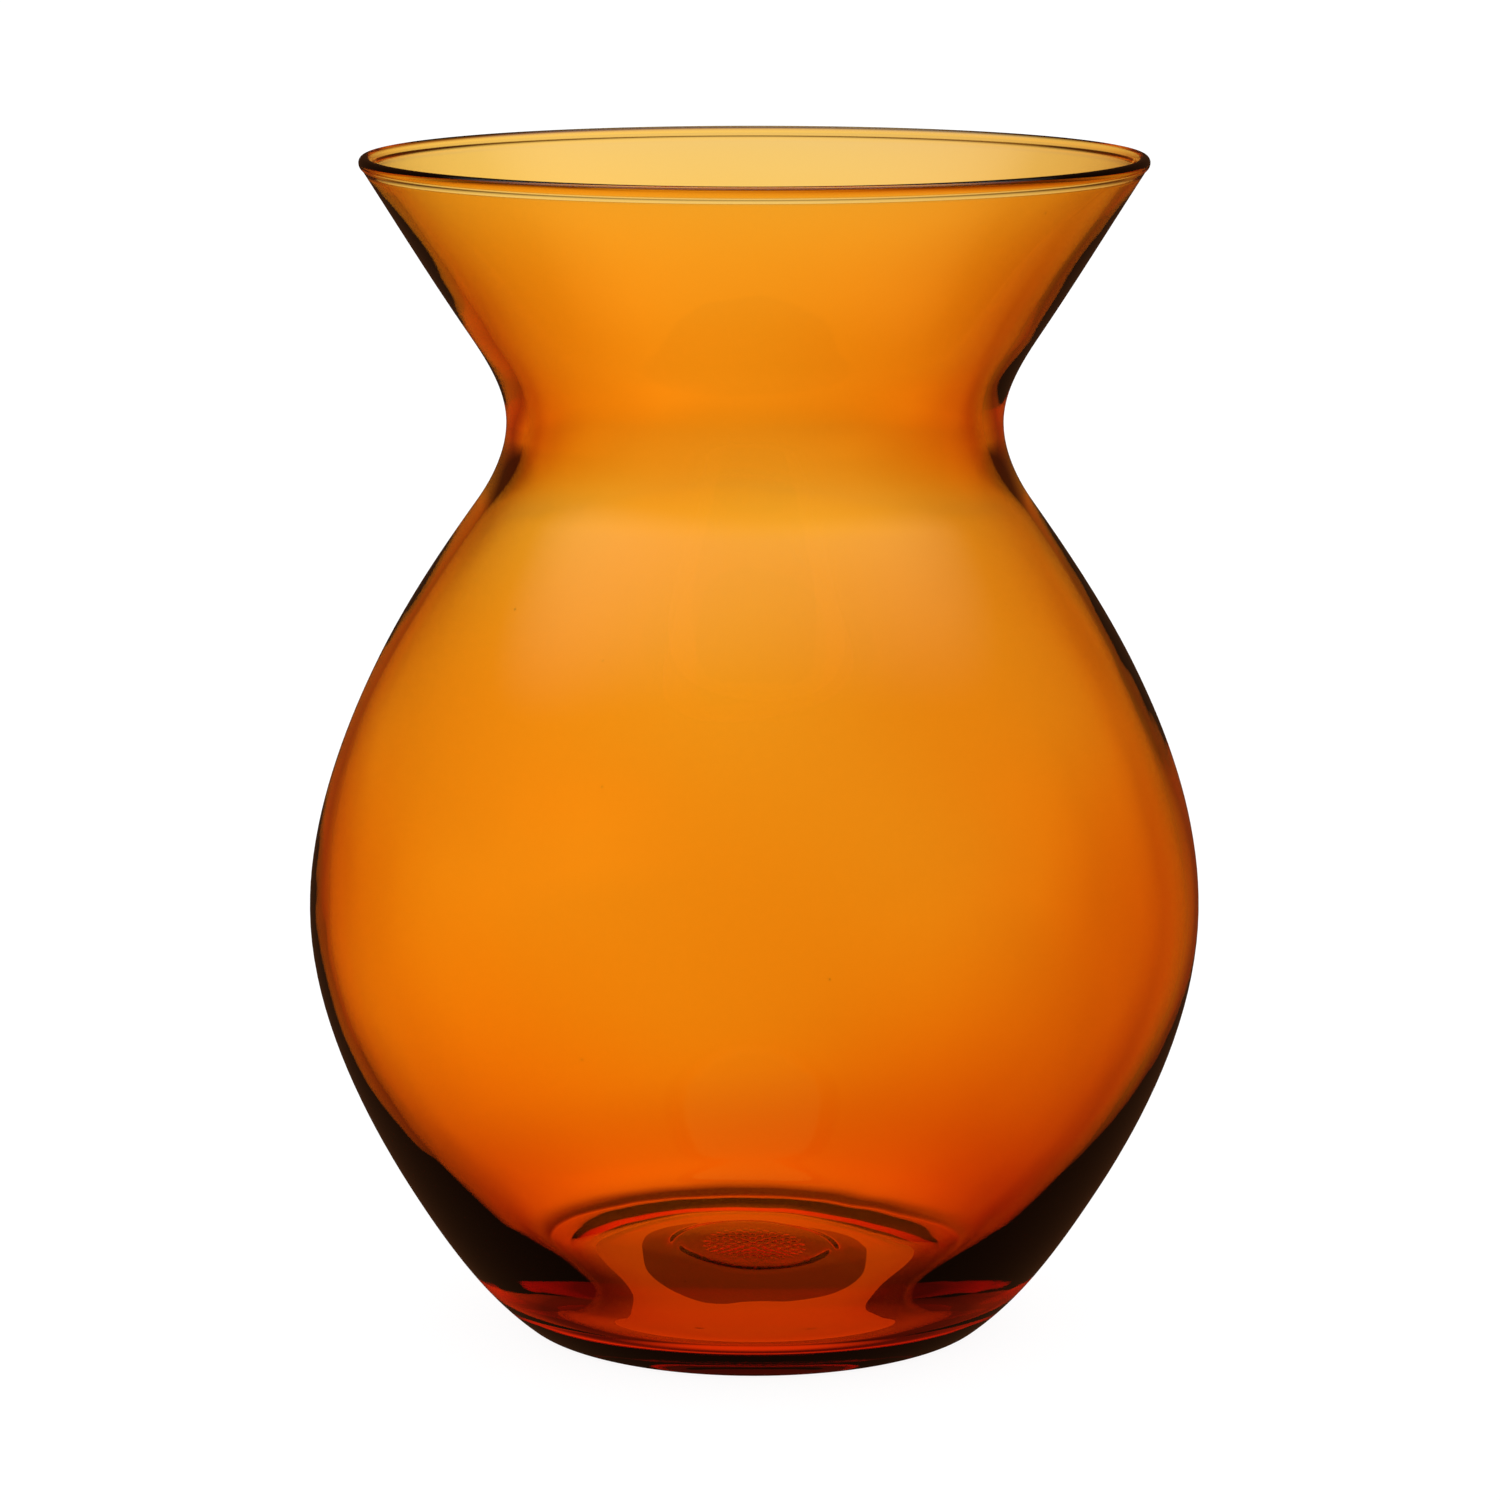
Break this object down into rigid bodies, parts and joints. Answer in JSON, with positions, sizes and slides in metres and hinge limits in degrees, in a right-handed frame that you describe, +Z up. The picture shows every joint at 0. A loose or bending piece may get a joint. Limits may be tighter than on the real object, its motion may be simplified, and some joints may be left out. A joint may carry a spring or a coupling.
{
  "type": "glass flower vase",
  "caption": "Round-bodied amber glass flower vase with a thick foot, a pinched waist and a wide flared mouth with a rounded lip.",
  "frame": {"origin": "centre of the resting ring, on the surface that the vase stands on", "axes": "+Z up along the vase's axis of revolution, X and Y in the plane of the foot"},
  "size_m": [0.164, 0.164, 0.216],
  "materials": {
    "amber_glass": "clear transparent amber soda-lime glass, fire-polished and glossy"
  },
  "bodies": {
    "root": {"vase_glass": "amber_glass"}
  },
  "joints": []
}
